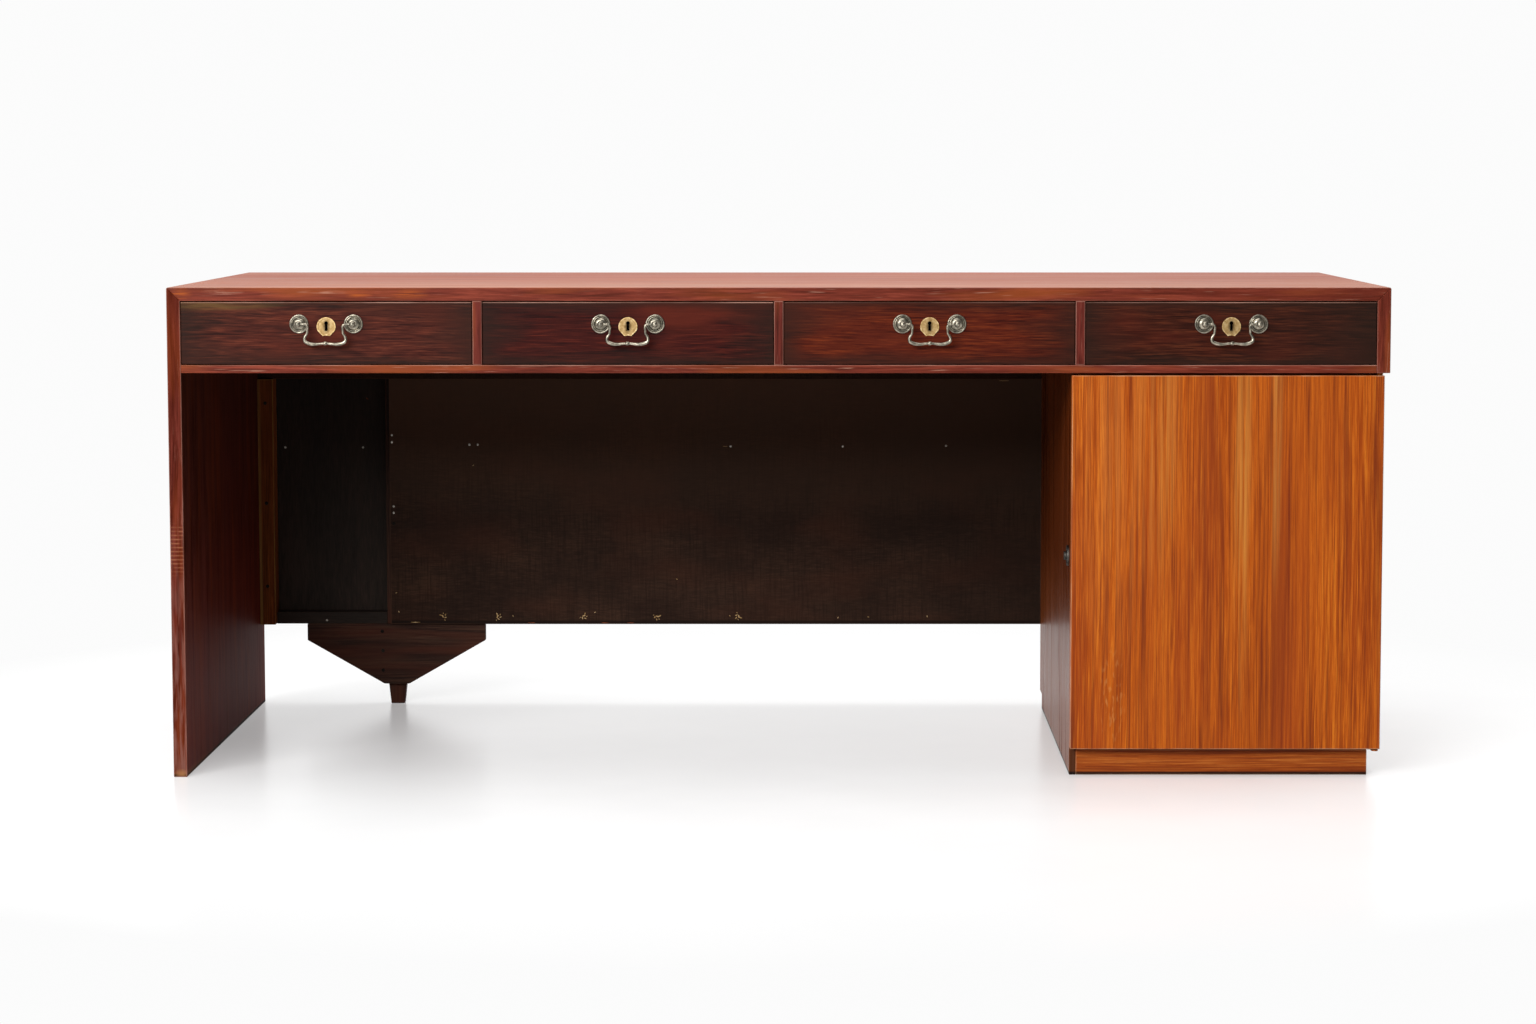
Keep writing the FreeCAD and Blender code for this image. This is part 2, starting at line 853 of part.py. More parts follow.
def main():
    os.makedirs("parts", exist_ok=True)
    save("top_board", top_board())
    save("left_slab", left_slab())
    save("right_end", right_end())
    save("deck", deck())
    save("box_back", box_back())
    save("dividers", *dividers())
    save("drawer_stops", *drawer_stops())
    for bay in range(drawer_count):
        name = "drawer_" + str(bay + 1) + "_"
        save(name + "front", drawer_front(bay))
        save(name + "sides_and_back", *drawer_sides(bay), drawer_back(bay))
        save(name + "bottom", bottom_panel(bay))
        save(name + "lock", drawer_lock(bay))
        save(name + "lock_bolt", lock_bolt(bay))
        save(name + "escutcheon", escutcheon(bay))
        save(name + "pull_posts", *pull_posts(bay))
        save(name + "bail", bail(bay))
    save("door", door())
    save("door_hinge_leaves", *door_leaves())
    save("door_keeper", door_keeper())
    save("fixed_hinge_leaves", *fixed_leaves())
    save("pedestal_left_side", pedestal_left_side())
    save("pedestal_right_side", pedestal_right_side())
    save("pedestal_top", pedestal_top())
    save("pedestal_bottom", pedestal_bottom())
    save("pedestal_back", pedestal_back())
    save("pedestal_shelf", shelf())
    save("packing_strips", *packing_strips())
    save("pedestal_plinth", *plinth())
    save("pedestal_lock_collar", lock_collar())
    save("pedestal_lock_plug", lock_plug())
    save("back_batten", back_batten())
    save("slab_cleat", slab_cleat())
    save("back_post", back_post())
    save("back_rails", *back_rails())
    save("gusset", gusset())
    save("back_panel_left", back_panel_left())
    save("back_panel_right", back_panel_right())


main()
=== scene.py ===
import math

import bpy
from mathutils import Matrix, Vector


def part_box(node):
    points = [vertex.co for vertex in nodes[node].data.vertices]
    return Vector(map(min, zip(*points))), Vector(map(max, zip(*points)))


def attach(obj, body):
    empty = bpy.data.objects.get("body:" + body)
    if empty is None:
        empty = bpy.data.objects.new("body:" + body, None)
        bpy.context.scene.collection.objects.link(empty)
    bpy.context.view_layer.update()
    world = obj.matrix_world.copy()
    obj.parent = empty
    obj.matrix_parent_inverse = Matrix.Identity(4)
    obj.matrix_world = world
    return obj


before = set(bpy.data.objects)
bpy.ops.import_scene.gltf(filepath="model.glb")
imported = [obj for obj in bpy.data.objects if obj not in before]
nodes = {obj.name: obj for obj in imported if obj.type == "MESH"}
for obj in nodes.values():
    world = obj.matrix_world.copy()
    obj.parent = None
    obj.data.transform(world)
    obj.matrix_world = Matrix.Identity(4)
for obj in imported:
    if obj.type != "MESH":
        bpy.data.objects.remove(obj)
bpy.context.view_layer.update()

# A kneehole desk of mahogany and teak: its woods, its metals, the small fasteners in its kneehole and the
# studio that it stands in.

MM = 0.001
AXES = {"x": 0, "y": 1, "z": 2}
# How far the clouds of one seed lie from those of the next.
SEED_SHIFT = Vector((3.7, 1.9, 2.3))


def srgb(code):
    """An sRGB hex colour as linear red, green, blue and alpha."""
    channels = [int(code[i : i + 2], 16) / 255 for i in (1, 3, 5)]
    return tuple(c / 12.92 if c <= 0.04045 else ((c + 0.055) / 1.055) ** 2.4 for c in channels) + (1.0,)


def add(tree, kind, inputs=(), stops=(), **settings):
    """Adds one shader node with its settings, its inputs by name or in order, and its colour stops."""
    node = tree.nodes.new("ShaderNode" + kind)
    for name, value in settings.items():
        setattr(node, name, value)
    for socket, value in inputs.items() if isinstance(inputs, dict) else enumerate(inputs):
        if isinstance(value, bpy.types.NodeSocket):
            tree.links.new(value, node.inputs[socket])
        else:
            node.inputs[socket].default_value = value
    for index, (place, code) in enumerate(stops):
        ramp = node.color_ramp.elements
        stop = ramp[index] if index < len(ramp) else ramp.new(place)
        stop.position = place
        stop.color = srgb(code)
    return node


def start_material(name, **values):
    """A new material with a shader whose even values are set, and the place on the piece."""
    material = bpy.data.materials.new(name)
    material.use_nodes = True
    tree = material.node_tree
    tree.nodes.clear()
    shader = add(tree, "BsdfPrincipled", values)
    add(tree, "OutputMaterial", {"Surface": shader.outputs["BSDF"]})
    place = add(tree, "TexCoord").outputs["Object"]
    return material, tree, shader, place


def finish_node(node, material):
    """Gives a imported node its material."""
    for slot in nodes[node].material_slots:
        slot.material = material


def grain(tree, place, along, width, length, seed, detail=2.0):
    """Clouds around one half, each so many mm wide across the grain and so long along it."""
    scale = [1 / (width * MM)] * 3
    scale[AXES[along]] = 1 / (length * MM)
    shift = seed * SEED_SHIFT
    spot = add(tree, "Mapping", {"Vector": place, "Scale": scale, "Location": shift}).outputs[0]
    return add(tree, "TexNoise", {"Vector": spot, "Scale": 1.0, "Detail": detail}).outputs


def coat(tree, colour, code, *shares):
    """A colour with a coat of another one over it.

    How much the coat covers is the product of its shares. A share is a value, the two levels between which
    it changes, and what it counts for at each of them. Levels and counts that aren't said are nothing and
    one.
    """
    parts = [add(tree, "MapRange", share).outputs[0] for share in shares]
    cover = parts[0]
    for part in parts[1:]:
        cover = add(tree, "Math", (cover, part), operation="MULTIPLY").outputs[0]
    return add(tree, "Mix", {0: cover, 6: colour, 7: srgb(code)}, data_type="RGBA").outputs[2]


def spaced(tones, start, end):
    """Colour stops for some tones, evenly from one level to another."""
    return [(start + (end - start) * i / (len(tones) - 1), code) for i, code in enumerate(tones)]


# Woods. Tones run from dark to light. Band, streak and fibre are a width across the grain and a length
# along it in mm, and weights say how much each of them counts. Real fibres and pores are finer than a
# pixel, so they are drawn about three times as coarse. Sway is how far the grain wanders and over what
# length. Gloss is the roughness on and between the streaks. Specular is the even level of shine, and sheen
# stands in its place where that level changes with the streaks, as gloss does. Lines, weave, scuff, grime
# and wear are a colour and a strength, and patch has its own width and length too.

WOODS = {
    # Mahogany planed and oiled long ago: red-brown, with short streaks, orange patches and pale arrises.
    "oiled_mahogany": dict(
        tones=("#501A0B", "#652517", "#793121", "#8E3F2D"),
        weights=(0.3, 0.4, 0.3), band=(16, 320), streak=(4, 110), fibre=(1.6, 40), sway=(8, 380),
        gloss=(0.4, 0.56), specular=0.12,
        patch=("#A3501F", 0.5, 30, 260), scuff=("#C59078", 0.5), wear=("#C4917F", 0.85),
    ),
    # The slab leg's boards, the same wood but dry and dull.
    "dry_mahogany": dict(
        tones=("#3E150D", "#4F1C13", "#5E251B", "#6E2F25"),
        weights=(0.3, 0.4, 0.3), band=(16, 320), streak=(4, 110), fibre=(1.6, 40), sway=(8, 380),
        gloss=(0.44, 0.6), sheen=(0.002, 0.022),
        patch=("#8A3C18", 0.45, 30, 260), scuff=("#B07A66", 0.35), wear=("#B98272", 0.8),
    ),
    # Mahogany drawer fronts darkened by handling: even brown-red with fine darker lines and dull borders.
    "dark_mahogany": dict(
        weights=(0.2, 0.3, 0.5), band=(14, 160), streak=(3.6, 90), fibre=(2.0, 34), sway=(3, 260),
        gloss=(0.4, 0.55), specular=0.08,
        patch=("#5E2214", 0.65, 70, 160), grime=("#231711", 0.75), wear=("#BF927F", 0.75),
    ),
    # Teak veneer under satin lacquer: straight orange stripes with thin darker lines from end to end.
    "teak_veneer": dict(
        tones=("#A4460B", "#BA5711", "#CA6416", "#DA771D"),
        weights=(0.2, 0.3, 0.5), band=(40, 900), streak=(5, 300), fibre=(1.5, 60), sway=(7, 700),
        gloss=(0.34, 0.46), specular=0.14,
        lines=("#6A240E", 0.72), patch=("#9A3A14", 0.4, 50, 480), wear=("#E0B48C", 0.55),
    ),
    # Teak side board, browner and more polished, so that the pale room shows in it at a low angle.
    "teak_board": dict(
        tones=("#441A05", "#542206", "#642A08", "#77360D"),
        weights=(0.25, 0.4, 0.35), band=(20, 1200), streak=(9, 500), fibre=(3.0, 200), sway=(6, 900),
        gloss=(0.24, 0.46), sheen=(0.0, 0.16),
        lines=("#301407", 0.28), wear=("#A87850", 0.45),
    ),
    # Cheap pressed board stained nearly black, dull and dusty, with a faint weave in it.
    "stained_board": dict(
        tones=("#271811", "#2F1F17", "#38261D", "#422D22"),
        weights=(0.5, 0.15, 0.35), band=(90, 140), streak=(6, 40), fibre=(2.0, 16), sway=(6, 200),
        gloss=(0.5, 0.66), specular=0.05,
        weave=("#1E130E", 0.45), patch=("#4A281B", 0.28, 90, 200), wear=("#6A4A38", 0.3),
    ),
    # The recessed boards, stained a colder black.
    "black_board": dict(
        tones=("#261F1B", "#2C2521", "#332A25", "#3A2F2A"),
        weights=(0.5, 0.2, 0.3), band=(70, 240), streak=(8, 60), fibre=(2.0, 20), sway=(6, 300),
        gloss=(0.5, 0.66), specular=0.05,
        wear=("#4A3A30", 0.3),
    ),
    # Sawn and stained pine, redder than the boards, with clear streaks.
    "stained_pine": dict(
        tones=("#1E130E", "#321F19", "#432D23", "#523A2E"),
        weights=(0.35, 0.4, 0.25), band=(12, 300), streak=(3.5, 160), fibre=(1.5, 50), sway=(8, 300),
        gloss=(0.46, 0.62), specular=0.06,
        patch=("#5A2A1C", 0.4, 30, 260), wear=("#6E5242", 0.4),
    ),
    # Sawn softwood strip, brown with yellow rubbed edges.
    "sawn_softwood": dict(
        tones=("#45210F", "#663416", "#844620", "#A45C2C"),
        weights=(0.3, 0.4, 0.3), band=(8, 260), streak=(3, 140), fibre=(1.5, 50), sway=(5, 260),
        gloss=(0.5, 0.65), specular=0.06,
        patch=("#6A2C12", 0.4, 20, 160), wear=("#B08A50", 0.8),
    ),
    # Bare wood where the stain has been chipped off: pale, dry and ragged.
    "bare_wood": dict(
        tones=("#80603A", "#A28050", "#C0A070", "#DABE92"),
        weights=(0.3, 0.4, 0.3), band=(6, 20), streak=(2, 9), fibre=(0.8, 5), sway=(2, 20),
        gloss=(0.55, 0.7), specular=0.1,
    ),
    # Waxed beech inside the drawers, pale tan with fine flecks.
    "waxed_beech": dict(
        tones=("#83603D", "#96724B", "#A88259", "#B9946B"),
        weights=(0.3, 0.4, 0.3), band=(30, 420), streak=(5, 160), fibre=(1.4, 30), sway=(10, 400),
        gloss=(0.5, 0.62), specular=0.2,
    ),
}
# Boards whose tones differ from their kind: each drawer front was cut from another board, for one.
BOARD_TONES = {
    "drawer_1_front": ("#290E08", "#411911", "#512318", "#693222"),
    "drawer_2_front": ("#1E0604", "#340C08", "#41130D", "#561E13"),
    "drawer_3_front": ("#320C04", "#4D170A", "#5D210E", "#732E13"),
    "drawer_4_front": ("#1E0A05", "#331309", "#411B0F", "#572816"),
    "dividers": ("#44150A", "#571D13", "#69271E", "#7A3227"),
    "pedestal_plinth": ("#743008", "#974312", "#AE561B", "#C8722E"),
    "edge_chips": ("#4A2010", "#642E18", "#7A3C20", "#8E4C2A"),
}
# Share of rubbed edges shown where less than usual, and boards pale only above: wear and painted highlight.
EDGE_SHARES = {
    "top_board": 0.12,
    "right_end": 0.3,
    "deck": 0.7,
    "dividers": 0.5,
    "drawer_3_front": 0.4,
    "pedestal_left_side": 0.3,
}
RUBBED_AND_LIT_ABOVE = ("deck", "drawer_1_front", "drawer_2_front", "drawer_3_front", "drawer_4_front")

# What the woods share. Sizes are a width across the grain and a length along it in mm. Levels are those at
# which clouds start to count and count in full.
WOOD_IOR = 1.5
SWAY_WIDTH = 160
LIVELY_SIZE = (150, 900)
LIVELY_LEVELS = (0.35, 0.65)
LIVELY_SHARES = (0.55, 1.25)
TONE_LEVELS = (0.4, 0.6)
GLOSS_LEVELS = (0.42, 0.58)
PORE_SIZE = (0.9, 16)
PORE_LEVELS = (0.6, 0.7)
PORE_STRENGTH = 0.5
LINE_SIZES = ((1.7, 260), (3.2, 700), (9, 420))
LINE_LEVELS = (0.55, 0.72)
THREAD_SIZE = (2.2, 45)
THREAD_LEVELS = (0.46, 0.66)
PATCH_LEVELS = (0.48, 0.66)
SCUFF_SIZE = (1.6, 70)
SCUFF_LEVELS = (0.65, 0.74)
RAGGED_SIZE = (30, 110)
GRAIN_RELIEF = {"Strength": 0.3, "Distance": 0.25 * MM}
# Grime reaches in by so many mm, and four times as far from the ends of a board as from above and below.
GRIME_LEVELS = (0.3, 0.7)
GRIME_REACH = (8, 32)
GRIME_SQUEEZE = Vector((0.25, 1.0, 1.0))
# A rubbed arris is bare up to the first of these distances in mm and whole from the second on.
ARRIS_REACH = (0.8, 1.6)
ARRIS_LEVELS = (0.4, 0.62)
ARRIS_LEAST = 0.25


def edge_distance(tree, place, low, high):
    """How far a point on a box's face is from the nearest edge of that face, in metres."""
    below = add(tree, "VectorMath", (place, low), operation="SUBTRACT").outputs[0]
    above = add(tree, "VectorMath", (high, place), operation="SUBTRACT").outputs[0]
    near = add(tree, "VectorMath", (below, above), operation="MINIMUM").outputs[0]
    x, y, z = add(tree, "SeparateXYZ", (near,)).outputs
    least = add(tree, "Math", (x, y), operation="MINIMUM").outputs[0]
    more = add(tree, "Math", (x, y), operation="MAXIMUM").outputs[0]
    rest = add(tree, "Math", (more, z), operation="MINIMUM").outputs[0]
    return add(tree, "Math", (least, rest), operation="MAXIMUM").outputs[0]


def figure(tree, place, look, along, seed):
    """A board's figure: the place as its grain bends it, the fibres, and the tone around one half."""
    sway, reach = look["sway"]
    lean = grain(tree, place, along, SWAY_WIDTH, reach, seed)["Color"]
    lean = add(tree, "VectorMath", (lean, (0.5, 0.5, 0.5)), operation="SUBTRACT").outputs[0]
    lean = add(tree, "VectorMath", {0: lean, "Scale": 2 * sway * MM}, operation="SCALE").outputs[0]
    bent = add(tree, "VectorMath", (place, lean), operation="ADD").outputs[0]
    tone = 0.0
    for step, part in enumerate(("band", "streak", "fibre")):
        fibre = grain(tree, bent, along, *look[part], seed + step, detail=4.0)[0]
        weight = look["weights"][step]
        tone = add(tree, "Math", (fibre, weight, tone), operation="MULTIPLY_ADD").outputs[0]
    lively = grain(tree, place, along, *LIVELY_SIZE, seed + 7)[0]
    lively = add(tree, "MapRange", (lively, *LIVELY_LEVELS, *LIVELY_SHARES)).outputs[0]
    tone = add(tree, "Math", (tone, 0.5), operation="SUBTRACT").outputs[0]
    tone = add(tree, "Math", (tone, lively, 0.5), operation="MULTIPLY_ADD").outputs[0]
    return bent, fibre, tone


def overlaid(tree, place, bent, colour, look, along, seed):
    """What lies over a board's figure, where its kind has it: dark lines, weave, patches and scuffs."""
    if "lines" in look:
        code, most = look["lines"]
        for width, length in LINE_SIZES:
            dark = grain(tree, bent, along, width, length, seed + width, detail=3.0)[0]
            colour = coat(tree, colour, code, (dark, *LINE_LEVELS, 0.0, most))
    if "weave" in look:
        code, most = look["weave"]
        across = "z" if along == "x" else "x"
        thread = grain(tree, place, across, *THREAD_SIZE, seed + 9, detail=3.0)[0]
        colour = coat(tree, colour, code, (thread, *THREAD_LEVELS, 0.0, most))
    if "patch" in look:
        code, most, width, length = look["patch"]
        cloud = grain(tree, bent, along, width, length, seed + 3)[0]
        colour = coat(tree, colour, code, (cloud, *PATCH_LEVELS, 0.0, most))
    if "scuff" in look:
        code, most = look["scuff"]
        rub = grain(tree, bent, along, *SCUFF_SIZE, seed + 5)[0]
        colour = coat(tree, colour, code, (rub, *SCUFF_LEVELS, 0.0, most))
    return colour


def worn(tree, place, colour, look, node, along, seed, pitch):
    """A board's worn edges: grime that crept in from around it, and arrises rubbed pale here and there."""
    low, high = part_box(node)
    spot = place
    if pitch:
        high = (low[0] + pitch[1], high[1], high[2])
        start = low[0] - MM
        x, y, z = add(tree, "SeparateXYZ", (place,)).outputs
        x = add(tree, "Math", (x, start + pitch[0], start), operation="WRAP").outputs[0]
        spot = add(tree, "CombineXYZ", (x, y, z)).outputs[0]
    edge = edge_distance(tree, spot, low, high)
    ragged = grain(tree, place, along, *RAGGED_SIZE, seed + 6, detail=5.0)[0]
    if "grime" in look:
        code, most = look["grime"]
        corner = add(tree, "VectorMath", (place, GRIME_SQUEEZE), operation="MULTIPLY").outputs[0]
        corner = edge_distance(tree, corner, GRIME_SQUEEZE * Vector(low), GRIME_SQUEEZE * Vector(high))
        reaches = [reach * MM for reach in GRIME_REACH]
        reach = add(tree, "MapRange", (ragged, *GRIME_LEVELS, *reaches)).outputs[0]
        colour = coat(tree, colour, code, (corner, 0.0, reach, most, 0.0))
    # Only the top arris is pale here: wear, and a painted highlight where the light falls on it.
    if node in RUBBED_AND_LIT_ABOVE:
        below = add(tree, "SeparateXYZ", (place,)).outputs["Z"]
        below = add(tree, "Math", (high[2], below), operation="SUBTRACT").outputs[0]
        edge = add(tree, "Math", (edge, below), operation="MAXIMUM").outputs[0]
    code, most = look["wear"]
    most = most * EDGE_SHARES.get(node, 1.0)
    bare = (edge, ARRIS_REACH[0] * MM, ARRIS_REACH[1] * MM, 1.0, 0.0)
    often = (ragged, *ARRIS_LEVELS, ARRIS_LEAST * most, most)
    return coat(tree, colour, code, bare, often)


def wood(kind, node, along, seed, pitch=None):
    """A board of one kind of wood with its grain along an axis.

    Pitch is the spacing and the thickness of a node's equal boards.
    """
    look = WOODS[kind]
    tones = BOARD_TONES.get(node) or look["tones"]
    values = {"IOR": WOOD_IOR}
    if "specular" in look:
        values["Specular IOR Level"] = look["specular"]
    material, tree, shader, place = start_material(kind + "_" + node, **values)

    bent, fibre, tone = figure(tree, place, look, along, seed)
    colour = add(tree, "ValToRGB", (tone,), spaced(tones, *TONE_LEVELS)).outputs[0]
    pores = grain(tree, bent, along, *PORE_SIZE, seed + 4)[0]
    pores = add(tree, "MapRange", (pores, *PORE_LEVELS, 0.0, PORE_STRENGTH)).outputs[0]
    colour = coat(tree, colour, tones[0], (pores,))
    colour = overlaid(tree, place, bent, colour, look, along, seed)
    if node in MARKS:
        colour = MARKS[node](tree, place, colour)
    if "wear" in look:
        colour = worn(tree, place, colour, look, node, along, seed, pitch)
    tree.links.new(colour, shader.inputs["Base Color"])

    for part, socket in (("gloss", "Roughness"), ("sheen", "Specular IOR Level")):
        if part in look:
            level = add(tree, "MapRange", (tone, *GLOSS_LEVELS, *look[part])).outputs[0]
            tree.links.new(level, shader.inputs[socket])
    relief = add(tree, "Math", (pores, -1.0, fibre), operation="MULTIPLY_ADD").outputs[0]
    bump = add(tree, "Bump", {"Height": relief, **GRAIN_RELIEF}).outputs[0]
    tree.links.new(bump, shader.inputs["Normal"])
    return material


# Marks on single boards. A face that looks to the front, or up or inwards, counts for nothing at the first
# of two levels of its normal and in full at the second.
FRONT_LEVELS = (-0.5, -0.9)
FACE_LEVELS = (0.5, 0.9)
# A spot counts in full up to the first of these shares of its size and for nothing at the second.
SPOT_FADE = (0.2, 1.0)
# Marks on the top board's front edge: middle from its left end and below its upper face, half width and half
# height in mm, colour and strength.
TOP_EDGE_MARKS = (
    (20, 9, 20, 10, "#B0561E", 0.8),
    (82, 7, 34, 4, "#D09C84", 0.8),
    (229, 7, 40, 4, "#D09C84", 0.8),
    (280, 10, 24, 7, "#B85A1C", 0.7),
    (358, 10, 30, 8, "#B85A1C", 0.7),
)
# Streaks in the door's veneer: middle from its lower left corner, half width and half height in mm, colour
# and strength.
VENEER_STREAKS = (
    (60, 420, 75, 330, "#D27C36", 0.4),
    (130, 520, 40, 330, "#D68A3C", 0.55),
    (200, 330, 36, 520, "#6E2610", 0.5),
    (252, 380, 18, 360, "#D9903F", 0.75),
    (302, 470, 10, 260, "#DC9A4A", 0.7),
    (318, 330, 22, 420, "#702510", 0.6),
    (285, 90, 40, 260, "#641E0E", 0.6),
    (150, 90, 60, 240, "#8A3212", 0.45),
    (452, 280, 16, 600, "#7A3010", 0.5),
)


def around(tree, place, middle, wide, high, most=1.0):
    """The share of a spot on a front face, which fades to nothing at so many mm to the side and up."""
    away = add(tree, "VectorMath", (place, middle), operation="SUBTRACT").outputs[0]
    sizes = (1 / (wide * MM), 0.0, 1 / (high * MM))
    away = add(tree, "VectorMath", (away, sizes), operation="MULTIPLY").outputs[0]
    away = add(tree, "VectorMath", (away,), operation="LENGTH").outputs["Value"]
    return (away, *SPOT_FADE, most, 0.0)


def place_and_facing(tree, place):
    """A place's x, y and z, and those of the way that its face looks."""
    normal = add(tree, "TexCoord").outputs["Normal"]
    return [add(tree, "SeparateXYZ", (vector,)).outputs for vector in (place, normal)]


def faded_top_with_painted_sheen(tree, place, colour):
    """The top board: scuffs and orange patches on its front edge; above, pink haze, sun-faded and painted
    reflection.
    """
    low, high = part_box("top_board")
    streak = grain(tree, place, "x", 1.8, 50, seed=53.0, detail=3.0)[0]
    for across, down, wide, tall, code, most in TOP_EDGE_MARKS:
        spot = around(tree, place, (low[0] + across * MM, low[1], high[2] - down * MM), wide, tall, most)
        colour = coat(tree, colour, code, (streak, 0.42, 0.6), spot)
    at, facing = place_and_facing(tree, place)
    upper = (facing["Z"], *FACE_LEVELS)
    near_front = add(tree, "MapRange", (at["Y"], low[1], low[1] + 420 * MM, 0.55, 0.0)).outputs[0]
    # Haze and painted reflection in streaks: width and length in mm, least and most cover, and colour.
    for width, length, least, most, code in (
        (24, 420, 0.3, 0.85, "#A85C48"),
        (150, 320, 0.0, 0.5, "#9A5234"),
        (36, 700, 0.2, near_front, "#C89A81"),
    ):
        haze_and_sheen = grain(tree, place, "x", width, length, seed=50.0 + 0.1 * width, detail=5.0)[0]
        colour = coat(tree, colour, code, upper, (haze_and_sheen, 0.36, 0.64, least, most))
    return colour


def plane_ripples(tree, place, colour):
    """The slab: knocks and plane ripples in front, painted shade and light inside, and a chipped foot."""
    low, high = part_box("left_slab")
    at, facing = place_and_facing(tree, place)
    front = (facing["Y"], *FRONT_LEVELS)
    inner = (facing["X"], *FACE_LEVELS)
    knocks = grain(tree, place, "z", 5, 45, seed=17.0, detail=4.0)[0]
    low_down = add(tree, "MapRange", (at["Z"], 100 * MM, 400 * MM, 0.42, 0.0)).outputs[0]
    colour = coat(tree, colour, "#9E7166", (knocks, 0.42, 0.62, 0.0, low_down), front)

    height = 340 * MM
    spacing = 6 * MM
    off = add(tree, "Math", (at["Z"], height), operation="SUBTRACT").outputs[0]
    off = add(tree, "Math", (off,), operation="ABSOLUTE").outputs[0]
    wander = grain(tree, place, "z", 12, 14, seed=19.0)[0]
    wave = add(tree, "Math", (at["Z"], 2 * math.pi / spacing, wander), operation="MULTIPLY_ADD").outputs[0]
    wave = add(tree, "Math", (wave,), operation="SINE").outputs[0]
    rippled = (off, 25 * MM, 42 * MM, 0.32, 0.0)
    colour = coat(tree, colour, "#D08A62", rippled, (wander, 0.35, 0.6), (wave,), front)

    # Painted shade: the inner face darker above, where the top keeps the light off.
    shaded_above = (at["Z"], 150 * MM, 600 * MM, 0.0, 0.6)
    colour = coat(tree, colour, "#2A1C16", inner, shaded_above)
    # Painted light: the inner face warmer and lighter low down, where more light reaches.
    lit_below = (at["Z"], 50 * MM, 350 * MM, 0.5, 0.0)
    colour = coat(tree, colour, "#86352A", inner, lit_below)
    # A painted shadow line at the floor.
    colour = painted_floor_shadow_line(tree, place, colour)
    chip = around(tree, place, (high[0] - 8 * MM, low[1], low[2] + 5 * MM), 12, 8)
    near_front = (at["Y"], low[1], low[1] + 320 * MM, 0.8, 0.0)
    return coat(tree, colour, "#A8734A", chip, near_front)


def veneer_figure(tree, place, colour):
    """The door's veneer: pale and red streaks from the cut of its leaves, and flecks knocked off below."""
    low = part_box("door")[0]
    streak = grain(tree, place, "z", 7, 420, seed=37.0, detail=5.0)[0]
    for across, up, wide, high, code, most in VENEER_STREAKS:
        spot = around(tree, place, (low[0] + across * MM, low[1], low[2] + up * MM), wide, high, most)
        colour = coat(tree, colour, code, (streak, 0.4, 0.6), spot)
    knocked = around(tree, place, (low[0] + 62 * MM, low[1], low[2] + 80 * MM), 22, 90)
    fleck = grain(tree, place, "z", 4.0, 14, seed=31.0, detail=1.0)[0]
    return coat(tree, colour, "#D99A55", (fleck, 0.56, 0.7, 0.0, 0.45), knocked)


def painted_floor_shadow_line(tree, place, colour):
    """A painted shadow: a dark line just above the floor, where the foot meets it."""
    z = add(tree, "SeparateXYZ", (place,)).outputs["Z"]
    return coat(tree, colour, "#0C0604", (z, 3.5 * MM, 6 * MM, 0.95, 0.0))


def side_with_painted_light(tree, place, colour):
    """The pedestal's left side: painted reflection low down, a dark front edge, a painted floor shadow."""
    at, facing = place_and_facing(tree, place)
    # Painted reflection of the pale floor: paler and warmer low down.
    low_down = (at["Z"], 100 * MM, 300 * MM, 0.4, 0.0)
    colour = coat(tree, colour, "#A85C30", low_down)
    front = (facing["Y"], *FRONT_LEVELS, 0.0, 0.9)
    colour = coat(tree, colour, "#4A2814", front)
    return painted_floor_shadow_line(tree, place, colour)


def rubbed_corner(tree, place, colour):
    """The upper left corner of the first drawer front, rubbed to a tan streak."""
    low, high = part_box("drawer_1_front")
    corner = around(tree, place, (low[0] + 30 * MM, low[1], high[2]), 140, 14)
    streak = grain(tree, place, "x", 2.5, 60, seed=23.0, detail=3.0)[0]
    return coat(tree, colour, "#A57B45", corner, (streak, 0.4, 0.6, 0.3, 1.0))


def dusty_end(tree, place, colour):
    """The fourth drawer front, whose right end is grey with dust."""
    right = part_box("drawer_4_front")[1][0]
    x = add(tree, "SeparateXYZ", (place,)).outputs["X"]
    dust = (x, right - 240 * MM, right - 40 * MM, 0.0, 0.5)
    return coat(tree, colour, "#301D16", dust)


def yellow_edge(tree, place, colour):
    """The cleat's left edge, rubbed yellow, more so towards its foot."""
    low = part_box("slab_cleat")[0]
    at = add(tree, "SeparateXYZ", (place,)).outputs
    edge = (at["X"], low[0] + 3 * MM, low[0] + 6 * MM, 1.0, 0.0)
    low_down = (at["Z"], low[2], low[2] + 400 * MM, 0.75, 0.25)
    return coat(tree, colour, "#B98C50", edge, low_down)


def dusty_board(tree, place, colour):
    """The nailed board: dust greys its upper part, and its right end and its foot are dark."""
    low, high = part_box("back_panel_right")
    at = add(tree, "SeparateXYZ", (place,)).outputs
    end = (at["X"], high[0] - 380 * MM, high[0], 0.0, 0.6)
    colour = coat(tree, colour, "#1A120D", end)
    dust = (at["Z"], low[2] + 180 * MM, low[2] + 400 * MM, 0.0, 0.6)
    colour = coat(tree, colour, "#6A5040", dust)
    foot = (at["Z"], low[2] + 5 * MM, low[2] + 7 * MM, 0.7, 0.0)
    return coat(tree, colour, "#120C09", foot)


MARKS = {
    "top_board": faded_top_with_painted_sheen,
    "left_slab": plane_ripples,
    "door": veneer_figure,
    "pedestal_plinth": painted_floor_shadow_line,
    "pedestal_left_side": side_with_painted_light,
    "drawer_1_front": rubbed_corner,
    "drawer_4_front": dusty_end,
    "slab_cleat": yellow_edge,
    "back_panel_right": dusty_board,
}


# Metals

bay_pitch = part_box("drawer_2_front")[0][0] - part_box("drawer_1_front")[0][0]
